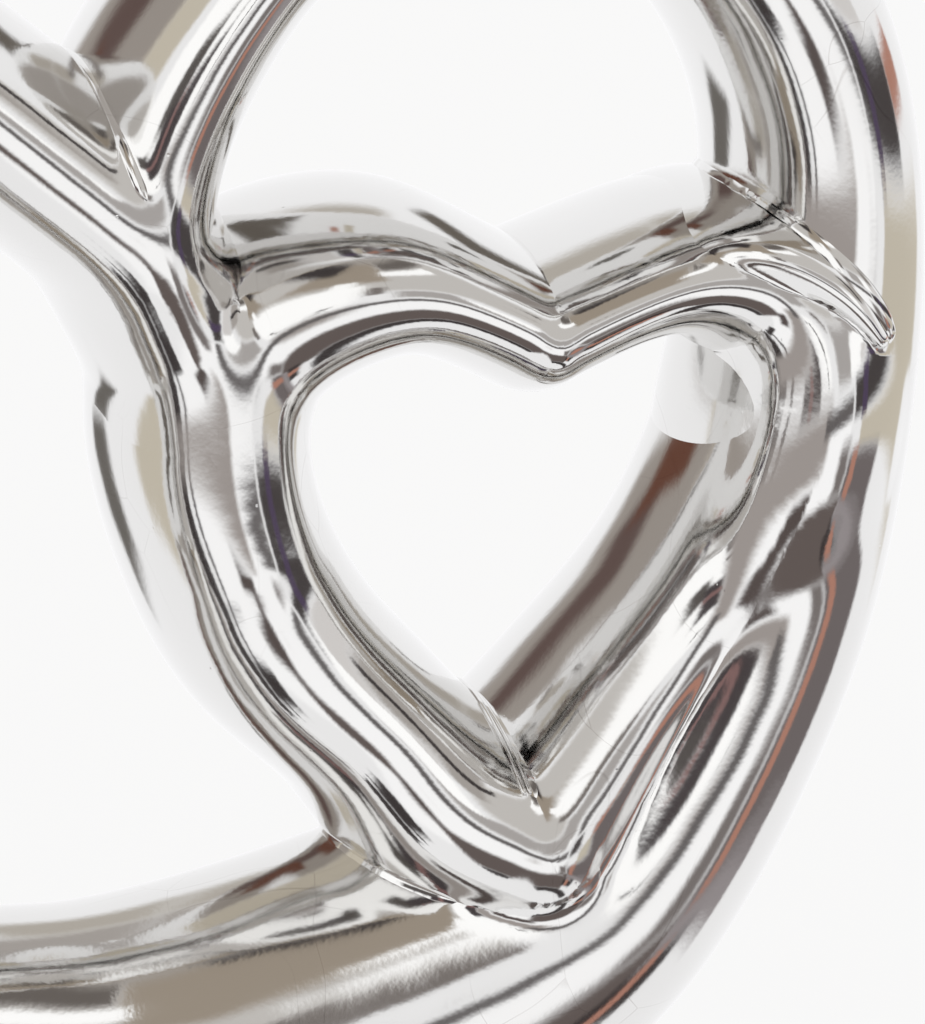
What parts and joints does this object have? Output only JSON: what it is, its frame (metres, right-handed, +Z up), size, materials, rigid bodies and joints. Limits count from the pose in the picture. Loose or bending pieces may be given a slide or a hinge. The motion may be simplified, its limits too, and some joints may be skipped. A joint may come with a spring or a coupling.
{
  "type": "ceramic heart sculpture",
  "caption": "Free-standing openwork heart sculpture of hollow mirror-plated ceramic, with a small open heart luted inside its right lobe and a thick flat foot.",
  "frame": {"origin": "on the table, under the middle of the sculpture's outline", "axes": "+Z up, +X along the width towards the small heart, +Y from front to back"},
  "size_m": [0.2603, 0.0592, 0.2094],
  "materials": {
    "silver_plate": "mirror silver plating over glazed earthenware",
    "biscuit": "unglazed, matt",
    "felt": "pressed felt"
  },
  "bodies": {
    "root": {"frame_right": "silver_plate", "frame_left": "silver_plate", "base": "silver_plate", "small_heart_left": "silver_plate", "small_heart_right": "silver_plate", "notch_seam": "silver_plate", "heart_tip_seam": "silver_plate", "base_corner_seam": "silver_plate", "shoulder_seam": "silver_plate", "base_plate": "biscuit", "foot_pad_1": "felt", "foot_pad_2": "felt", "foot_pad_3": "felt", "foot_pad_4": "felt"}
  },
  "joints": []
}
